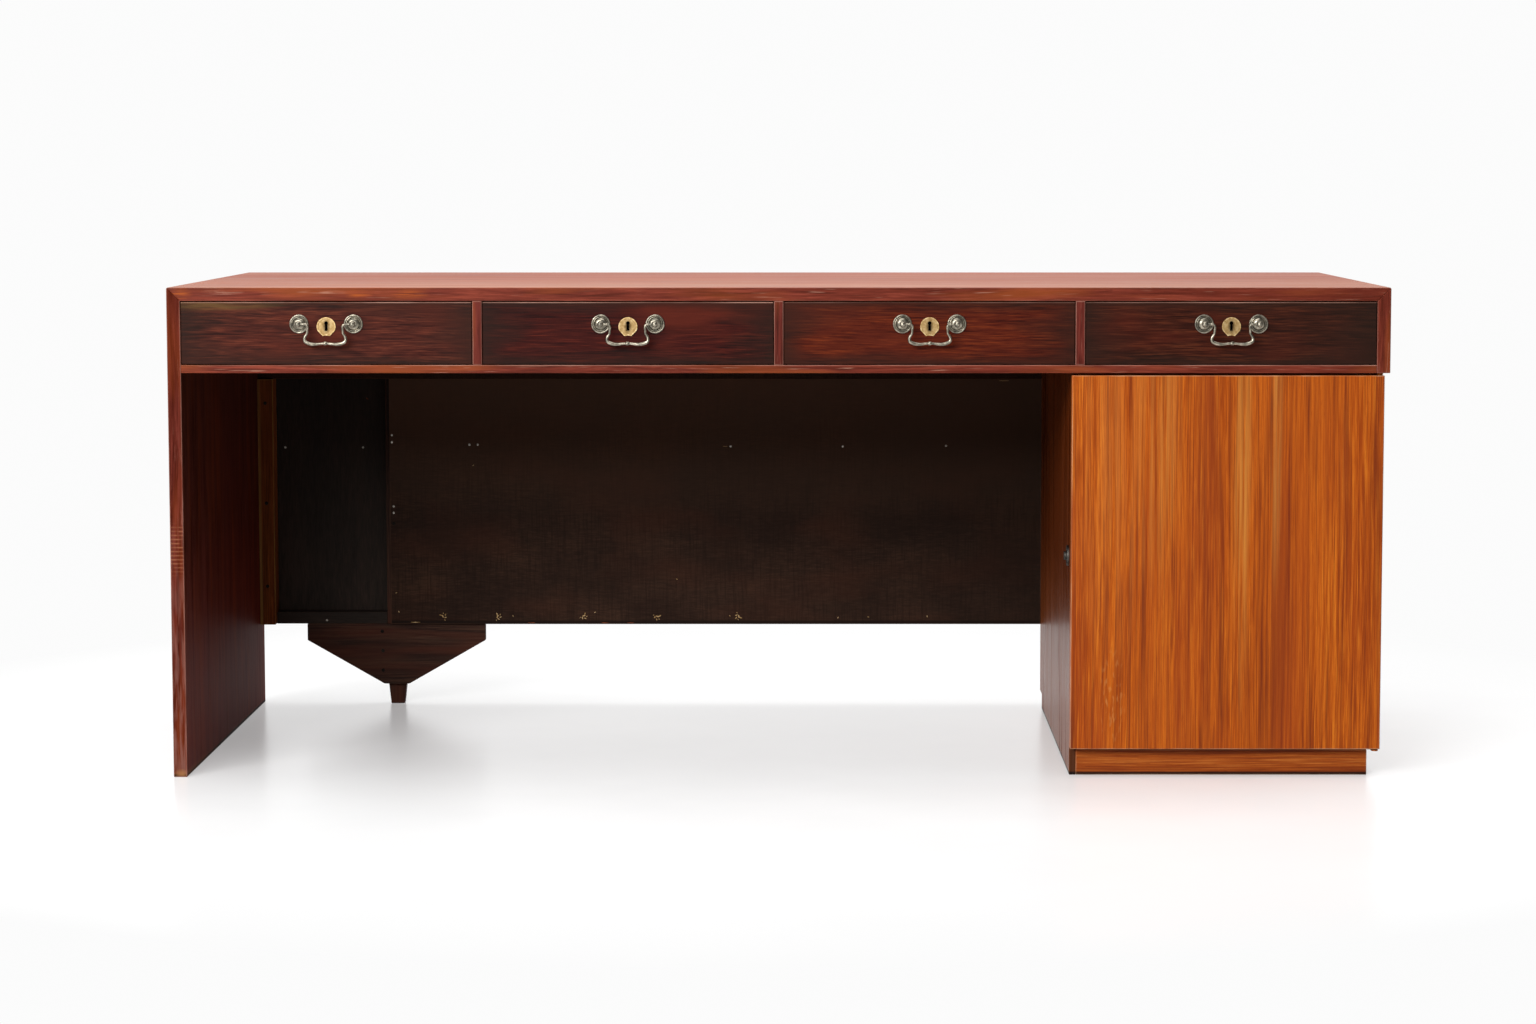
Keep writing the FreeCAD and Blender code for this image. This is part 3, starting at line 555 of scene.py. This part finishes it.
# How far the keyhole's middle lies below the escutcheon's top, and the half width and half height of the
# dirt around it, in mm.
KEYHOLE_DROP = 13.5
KEY_DIRT = (6.2, 11.5)
# Where metal tones start and end, hollow depth in mm, and how hollow dirt and painted shade and scratches
# show.
DRIFT_LEVELS = (0.3, 0.7)
HOLLOW_DEPTH = 3
HOLLOW_LEVELS = (0.3, 0.8)
HOLLOW_DIRT_AND_SHADE = 0.8
SCRATCH_STRETCH = 12
SCRATCH_RELIEF = {"Strength": 0.15, "Distance": 0.1 * MM}


def key_worn(tree, place, colour):
    """An escutcheon: its rim rubbed bright, its field dull, and dirt from keys around the keyhole."""
    low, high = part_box("drawer_1_escutcheon")
    x, y, z = add(tree, "SeparateXYZ", (place,)).outputs
    field = (y, low[1] + 0.3 * MM, low[1] + 0.5 * MM, 0.0, 0.5)
    colour = coat(tree, colour, "#8A6F45", field)
    left = low[0] - 10 * MM
    x = add(tree, "Math", (x, left + bay_pitch, left), operation="WRAP").outputs[0]
    spot = add(tree, "CombineXYZ", (x, y, z)).outputs[0]
    keyhole = ((low[0] + high[0]) / 2, low[1], high[2] - KEYHOLE_DROP * MM)
    return coat(tree, colour, "#1C140C", around(tree, spot, keyhole, *KEY_DIRT))


def metal(name, tones, patch, gloss, scratch, seed, marks=None):
    """Metal that has been handled: colour drifting in patches, dirt and painted shade in hollows, scratches.

    Patch and scratch are widths in mm. Real scratches are finer: these are as coarse as they need to show.
    """
    material, tree, shader, place = start_material(name, Metallic=1.0)
    drift = grain(tree, place, "x", patch, patch, seed, detail=4.0)[0]
    colour = add(tree, "ValToRGB", (drift,), spaced(tones, *DRIFT_LEVELS)).outputs[0]
    # Dirt and painted shade: darker where the hollows keep the light off.
    open_sky = add(tree, "AmbientOcclusion", {"Distance": HOLLOW_DEPTH * MM}, samples=8).outputs["AO"]
    colour = coat(tree, colour, "#1E1A14", (open_sky, *HOLLOW_LEVELS, HOLLOW_DIRT_AND_SHADE, 0.0))
    if marks:
        colour = marks(tree, place, colour)
    tree.links.new(colour, shader.inputs["Base Color"])
    rough = add(tree, "MapRange", (drift, *DRIFT_LEVELS, gloss[1], gloss[0])).outputs[0]
    tree.links.new(rough, shader.inputs["Roughness"])
    lines = grain(tree, place, "x", scratch, scratch * SCRATCH_STRETCH, seed)[0]
    bump = add(tree, "Bump", {"Height": lines, **SCRATCH_RELIEF}).outputs[0]
    tree.links.new(bump, shader.inputs["Normal"])
    return material


# Nickel-plated brass, cast, worn and tarnished: soft grey, with a warm cast where the brass comes through.
worn_nickel = metal(
    "tarnished_nickel_brass",
    tones=("#66635A", "#8D8778", "#BCB3A1"),
    patch=6, gloss=(0.28, 0.4), scratch=0.5, seed=1.0,
)
# Cast brass of the escutcheons and lock bolts, rubbed satin: pale gold with browner hollows.
satin_brass = metal(
    "satin_brass",
    tones=("#9A7D4E", "#C2A371", "#DEC596"),
    patch=4, gloss=(0.5, 0.62), scratch=0.4, seed=2.0, marks=key_worn,
)
# Forged iron gone brown-black: lock cases, the door's keeper and screws, which look like dark holes.
dark_iron = metal(
    "blackened_iron",
    tones=("#14110F", "#1E1A17", "#2A2521"),
    patch=9, gloss=(0.5, 0.7), scratch=0.5, seed=3.0,
)
# Plated steel of the pedestal's lock, turned and gone dull grey.
plated_steel = metal(
    "plated_steel",
    tones=("#3A3734", "#524F4B", "#6A6762"),
    patch=9, gloss=(0.4, 0.55), scratch=0.4, seed=4.0,
)
# Zinc on drawn wire nails, bright once and gone dull: dim grey spots in the dark boards.
dull_zinc = metal(
    "dull_zinc",
    tones=("#7E7972", "#9A958D", "#B8B3AA"),
    patch=4, gloss=(0.5, 0.65), scratch=0.4, seed=5.0,
)
# Browned sheet steel of the hinges, close to the teak around them.
browned_steel = metal(
    "browned_steel",
    tones=("#7A3E16", "#94501F", "#AE642C"),
    patch=9, gloss=(0.45, 0.6), scratch=0.5, seed=6.0,
)

# Each kind of wood's boards and the way that their grain runs.
BOARDS = {
    "oiled_mahogany": {"top_board": "x", "right_end": "z", "deck": "x"},
    "dry_mahogany": {"left_slab": "z"},
    "teak_veneer": {
        "door": "z",
        "pedestal_right_side": "z",
        "pedestal_top": "x",
        "pedestal_bottom": "x",
        "pedestal_shelf": "x",
        "pedestal_plinth": "x",
    },
    "teak_board": {"pedestal_left_side": "z"},
    "stained_board": {"box_back": "x", "pedestal_back": "z", "back_batten": "x", "back_panel_right": "x"},
    "black_board": {"back_panel_left": "z", "back_rails": "x"},
    "stained_pine": {"gusset": "x", "back_post": "z"},
    "sawn_softwood": {"slab_cleat": "z"},
    "waxed_beech": {"drawer_stops": "x", "packing_strips": "y"},
}
DIVIDER_THICKNESS = 14


def finish_desk():
    """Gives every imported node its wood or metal."""
    seed = 0.0
    for kind, boards in BOARDS.items():
        for node, along in boards.items():
            finish_node(node, wood(kind, node, along, seed))
            seed += 7.0
    pitch = (bay_pitch, DIVIDER_THICKNESS * MM)
    finish_node("dividers", wood("oiled_mahogany", "dividers", "z", seed, pitch))
    for number in range(1, 5):
        drawer = "drawer_%d_" % number
        front = drawer + "front"
        box = drawer + "sides_and_back"
        bottom = drawer + "bottom"
        finish_node(front, wood("dark_mahogany", front, "x", seed=200.0 + 9 * number))
        finish_node(box, wood("waxed_beech", box, "y", seed=240.0 + number))
        finish_node(bottom, wood("waxed_beech", bottom, "x", seed=250.0 + number))
        finish_node(drawer + "pull_posts", worn_nickel)
        finish_node(drawer + "bail", worn_nickel)
        finish_node(drawer + "escutcheon", satin_brass)
        finish_node(drawer + "lock_bolt", satin_brass)
        finish_node(drawer + "lock", dark_iron)
    for node in ("fixed_hinge_leaves", "door_hinge_leaves"):
        finish_node(node, browned_steel)
    finish_node("door_keeper", dark_iron)
    for node in ("pedestal_lock_collar", "pedestal_lock_plug"):
        finish_node(node, plated_steel)


# Nails, screws and chips on the kneehole's boards. Places are in mm from a board's left and bottom edges.

RECESS_NAILS = ((40, 296), (171, 296))
RAIL_NAILS = ((84, 6),)
BOARD_NAILS = (
    (4, 319), (4, 307), (6, 199), (6, 188), (134, 303), (148, 303), (572, 300), (760, 300), (933, 301),
)
BOARD_SCREWS = ((6, 170),)
CLEAT_SCREWS = ((13, 373), (13, 205), (13, 65))
GUSSET_SCREWS = ((126, 89), (127, 56), (127, 23))
CHIP_CLUSTERS = ((87, 13), (179, 13), (324, 14), (448, 13), (585, 13))
SINGLE_CHIPS = (
    (205, 14), (343, 20), (570, 14), (752, 11), (803, 12), (902, 13),
    (9, 53), (13, 21), (140, 268), (481, 76),
)
NAIL_STREAKS = ((563, 300),)
SPLINTERS = ((41, 3), (1030, 410))
RECESS_CHIPS = ((179, 378), (205, 7))
EDGE_CHIPS = ((236, 2), (360, 2), (403, 2))
# Slivers of a chip cluster: shift to the side and up in mm, turn and size.
CLUSTER_SLIVERS = (
    (0, 0, 0.4, 0.8),
    (4.2, 1.6, 1.9, 0.6),
    (-4.0, -1.0, 2.6, 0.7),
    (1.0, 5.0, 1.2, 0.6),
    (-3.0, 4.2, 0.2, 0.45),
    (6.5, -1.8, 2.9, 0.4),
)
# Heads in mm. A nail's steps are how far each goes in and rises, and a screw's slot is sawn at a slant.
NAIL_RADIUS = 1.9
NAIL_HEIGHT = 0.6
NAIL_STEPS = ((0.6, 0.25), (0.7, 0.12))
SCREW_RADIUS = 2.9
SCREW_HEIGHT = 0.8
SCREW_RIM = 0.25
SLOT_SIZE = (8, 0.6, 0.8)
SLOT_SLANT = 0.5
# A chip in mm, how far its ends are drawn out, how thin they get, and how low the right and the left end
# get, each of which also rises by that share of a millimetre.
CHIP_SIZE = (2.4, 0.5, 2.6)
CHIP_END = 2.2
CHIP_THIN_SHARE = 0.5
CHIP_LOW_SHARES = ((1, 0.3), (-1, 0.45))


def face_forward():
    """Turns the new piece's axis to the front and leaves the turn in its mesh."""
    bpy.context.object.rotation_euler = (math.pi / 2, 0, 0)
    bpy.ops.object.transform_apply(location=False, rotation=True, scale=True)


def select_faces(piece, facing, least=0.9):
    """Selects a piece's faces that look along a direction and goes into edit mode."""
    bpy.ops.object.mode_set(mode="EDIT")
    bpy.ops.mesh.select_mode(type="FACE")
    bpy.ops.mesh.select_all(action="DESELECT")
    bpy.ops.object.mode_set(mode="OBJECT")
    for polygon in piece.data.polygons:
        polygon.select = polygon.normal.dot(Vector(facing)) > least
    bpy.ops.object.mode_set(mode="EDIT")


def nail_pattern():
    """A round wire nail's head, low and domed in two steps."""
    bpy.ops.mesh.primitive_cylinder_add(vertices=16, radius=NAIL_RADIUS * MM, depth=NAIL_HEIGHT * MM)
    face_forward()
    nail = bpy.context.object
    select_faces(nail, (0, -1, 0))
    for inward, rise in NAIL_STEPS:
        bpy.ops.mesh.inset(thickness=inward * MM)
        bpy.ops.transform.translate(value=(0, -rise * MM, 0))
    bpy.ops.object.mode_set(mode="OBJECT")
    return nail


def screw_pattern():
    """A countersunk wood screw's head with a bevelled rim and a slot sawn across it."""
    bpy.ops.mesh.primitive_cylinder_add(vertices=24, radius=SCREW_RADIUS * MM, depth=SCREW_HEIGHT * MM)
    face_forward()
    screw = bpy.context.object
    select_faces(screw, (0, -1, 0))
    bpy.ops.mesh.bevel(offset=SCREW_RIM * MM, segments=2)
    bpy.ops.object.mode_set(mode="OBJECT")
    head = (0, -SCREW_HEIGHT / 2 * MM, 0)
    bpy.ops.mesh.primitive_cube_add(size=1, location=head, rotation=(0, SLOT_SLANT, 0))
    saw = bpy.context.object
    saw.scale = Vector(SLOT_SIZE) * MM
    bpy.ops.object.transform_apply(location=True, rotation=True, scale=True)
    slot = screw.modifiers.new("slot", "BOOLEAN")
    slot.operation = "DIFFERENCE"
    slot.solver = "EXACT"
    slot.object = saw
    bpy.context.view_layer.objects.active = screw
    bpy.ops.object.modifier_apply(modifier="slot")
    bpy.data.objects.remove(saw)
    return screw


def chip_pattern():
    """A sliver of bare wood, thick in its middle and drawn out to both ends."""
    bpy.ops.mesh.primitive_cube_add(size=1)
    chip = bpy.context.object
    chip.scale = Vector(CHIP_SIZE) * MM
    bpy.ops.object.transform_apply(location=False, rotation=False, scale=True)
    for side, share in CHIP_LOW_SHARES:
        select_faces(chip, (side, 0, 0))
        drawn = {"value": (side * CHIP_END * MM, 0, share * MM)}
        bpy.ops.mesh.extrude_region_move(TRANSFORM_OT_translate=drawn)
        bpy.ops.transform.resize(value=(1, CHIP_THIN_SHARE, share))
        bpy.ops.object.mode_set(mode="OBJECT")
    return chip


def copied(pattern, name):
    """A copy of a pattern with its own mesh, selected by itself."""
    piece = pattern.copy()
    piece.data = pattern.data.copy()
    piece.name = name
    bpy.context.collection.objects.link(piece)
    bpy.ops.object.select_all(action="DESELECT")
    piece.select_set(True)
    bpy.context.view_layer.objects.active = piece
    return piece


def cluster_pattern(chip):
    """A few slivers of bare wood around a spot, joined."""
    slivers = []
    for across, up, turn, size in CLUSTER_SLIVERS:
        sliver = copied(chip, "sliver")
        sliver.location = (across * MM, 0, up * MM)
        sliver.rotation_euler = (0, turn, 0)
        sliver.scale = (size, 1, size)
        bpy.ops.object.transform_apply(location=True, rotation=True, scale=True)
        slivers.append(sliver)
    for sliver in slivers:
        sliver.select_set(True)
    bpy.ops.object.join()
    return bpy.context.object


def seat(pattern, name, node, places, material, turn=0.0, size=(1.0, 1.0)):
    """Copies a pattern to places on the front face of a board, scaled across and up."""
    low = Vector(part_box(node)[0])
    for number, (across, up) in enumerate(places, 1):
        piece = copied(pattern, "%s_%d" % (name, number))
        piece.location = low + Vector((across * MM, 0, up * MM))
        piece.rotation_euler = (0, turn * number, 0)
        piece.scale = (size[0], 1, size[1])
        bpy.ops.object.transform_apply(location=True, rotation=True, scale=True)
        piece.data.materials.clear()
        piece.data.materials.append(material)
        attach(piece, "desk")


def kneehole_fasteners():
    """The nails and screws that hold the kneehole's boards, and the chips around them."""
    bpy.ops.object.select_all(action="DESELECT")
    board = "back_panel_right"
    recess = "back_panel_left"
    nail = nail_pattern()
    seat(nail, "recess_nail", recess, RECESS_NAILS, dull_zinc)
    seat(nail, "rail_nail", "back_rails", RAIL_NAILS, dull_zinc)
    seat(nail, "board_nail", board, BOARD_NAILS, dull_zinc)
    screw = screw_pattern()
    seat(screw, "board_screw", board, BOARD_SCREWS, dark_iron, turn=0.7)
    seat(screw, "cleat_screw", "slab_cleat", CLEAT_SCREWS, dark_iron, turn=0.9)
    seat(screw, "gusset_screw", "gusset", GUSSET_SCREWS, dark_iron, turn=1.1)
    chip = chip_pattern()
    cluster = cluster_pattern(chip)
    bare_wood = wood("bare_wood", "chips", "x", seed=300.0)
    red_wood = wood("bare_wood", "edge_chips", "x", seed=310.0)
    seat(cluster, "chip_cluster", board, CHIP_CLUSTERS, bare_wood, turn=0.8)
    seat(chip, "single_chip", board, SINGLE_CHIPS, bare_wood, turn=1.3, size=(0.45, 0.45))
    seat(chip, "nail_streak", board, NAIL_STREAKS, bare_wood, size=(1.2, 0.3))
    seat(chip, "splinter", board, SPLINTERS, bare_wood, size=(2.4, 0.4))
    seat(chip, "edge_chip", board, EDGE_CHIPS, red_wood, size=(1.7, 0.6))
    seat(chip, "recess_chip", recess, RECESS_CHIPS, red_wood, turn=0.6, size=(0.7, 0.6))
    for pattern in (nail, screw, chip, cluster):
        bpy.data.objects.remove(pattern)


# Studio. White is what the eye sees of the wall and the far floor. The room lights the desk far less than
# that, and mirrored in the desk it is white behind and dim in front. The floor is paint near the desk,
# lifted a little in its brightness, and fades to white further off, where it lights the desk as a grey one
# would. Lengths are in metres, and the floor's clouds of dust in mm.

WHITE = 0.97
ROOM_LIGHT = 0.14
DIM_FRONT = 0.2
BEHIND_LEVELS = (-0.1, 0.4)
FLOOR_SIZE = 24
FLOOR_FADE = (0.8, 1.7)
FLOOR_LIFT = 0.27
FLOOR_LIGHT = 0.2
DUST_SIZE = (300, 300)
# Each lamp's name, place, aim, width and height, and power in watts.
SOFTBOXES = (
    ("front_softbox", (-2.7, -5.4, 2.7), (0.1, 0.0, 0.3), (4.0, 2.0), 380),
    ("ceiling_softbox", (0.1, 0.0, 3.4), (0.0, 0.1, 0.0), (4.0, 3.0), 110),
)
# The photograph's view, fitted to the desk's front: the camera's tilt in degrees, and its lens in mm.
CAMERA_PLACE = (0.0598, -5.8182, 0.9032)
CAMERA_TILT = 84.67
SENSOR_WIDTH = 36.0
LENS = 86.68
LENS_SHIFT = -0.0335
VIEW_END = 100


def surroundings():
    """White surroundings, which light the desk only a little."""
    world = bpy.data.worlds.new("studio")
    bpy.context.scene.world = world
    world.use_nodes = True
    tree = world.node_tree
    tree.nodes.clear()
    rays = add(tree, "LightPath").outputs
    bounced = (rays["Is Glossy Ray"], rays["Is Transmission Ray"])
    mirrored = add(tree, "Math", bounced, operation="MAXIMUM").outputs[0]
    look = add(tree, "TexCoord").outputs["Generated"]
    behind = add(tree, "SeparateXYZ", (look,)).outputs["Y"]
    wall = add(tree, "MapRange", (behind, *BEHIND_LEVELS, DIM_FRONT, WHITE)).outputs[0]
    strength = add(tree, "Mix", {0: mirrored, 2: ROOM_LIGHT, 3: wall}).outputs[0]
    strength = add(tree, "Mix", {0: rays["Is Camera Ray"], 2: strength, 3: WHITE}).outputs[0]
    sky = add(tree, "Background", {"Color": srgb("#FFFFFF"), "Strength": strength})
    add(tree, "OutputWorld", {"Surface": sky.outputs[0]})


def pale_floor():
    """A floor that fades into the white surroundings and keeps the desk's shadow and mirror image."""
    bpy.ops.object.select_all(action="DESELECT")
    bpy.ops.mesh.primitive_plane_add(size=FLOOR_SIZE)
    floor = bpy.context.object
    floor.name = "floor"
    # Rolled white floor paint with a satin shine: the feet show in it softly.
    values = {"Roughness": 0.24, "Specular IOR Level": 0.6, "Emission Color": srgb("#FFFFFF")}
    material, tree, shader, place = start_material("painted_floor", **values)
    rays = add(tree, "LightPath").outputs
    dust = grain(tree, place, "x", *DUST_SIZE, seed=0.0, detail=3.0)[0]
    paint = add(tree, "ValToRGB", (dust,), [(0.3, "#ECECEC"), (0.7, "#F2F2F2")]).outputs[0]
    paint = coat(tree, paint, "#8C8C8C", (rays["Is Diffuse Ray"],))
    tree.links.new(paint, shader.inputs["Base Color"])
    lift = add(tree, "Mix", {0: rays["Is Diffuse Ray"], 2: FLOOR_LIFT, 3: 0.0}).outputs[0]
    tree.links.new(lift, shader.inputs["Emission Strength"])
    away = add(tree, "VectorMath", (place,), operation="LENGTH").outputs["Value"]
    fade = add(tree, "MapRange", (away, *FLOOR_FADE)).outputs[0]
    glow = add(tree, "Mix", {0: rays["Is Diffuse Ray"], 2: WHITE, 3: FLOOR_LIGHT}).outputs[0]
    glow = add(tree, "Emission", {"Color": srgb("#FFFFFF"), "Strength": glow})
    both = add(tree, "MixShader", (fade, shader.outputs[0], glow.outputs[0]))
    tree.links.new(both.outputs[0], tree.nodes["Material Output"].inputs["Surface"])
    floor.data.materials.append(material)


def soft_lamps():
    """Soft lamps above the desk and in front of it."""
    for name, place, target, size, power in SOFTBOXES:
        bpy.ops.object.light_add(type="AREA", location=place)
        lamp = bpy.context.object
        lamp.name = name
        lamp.rotation_euler = (Vector(target) - Vector(place)).to_track_quat("-Z", "Y").to_euler()
        lamp.data.shape = "RECTANGLE"
        lamp.data.size, lamp.data.size_y = size
        lamp.data.energy = power


def camera():
    """The photograph's view: a long lens a little above the top, aimed slightly down."""
    bpy.ops.object.camera_add(location=CAMERA_PLACE, rotation=(math.radians(CAMERA_TILT), 0, 0))
    seen = bpy.context.object
    seen.data.sensor_width = SENSOR_WIDTH
    seen.data.lens = LENS
    seen.data.shift_x = LENS_SHIFT
    seen.data.clip_end = VIEW_END
    bpy.context.scene.camera = seen


finish_desk()
kneehole_fasteners()
surroundings()
pale_floor()
soft_lamps()
camera()
bpy.context.scene.view_settings.view_transform = "Standard"
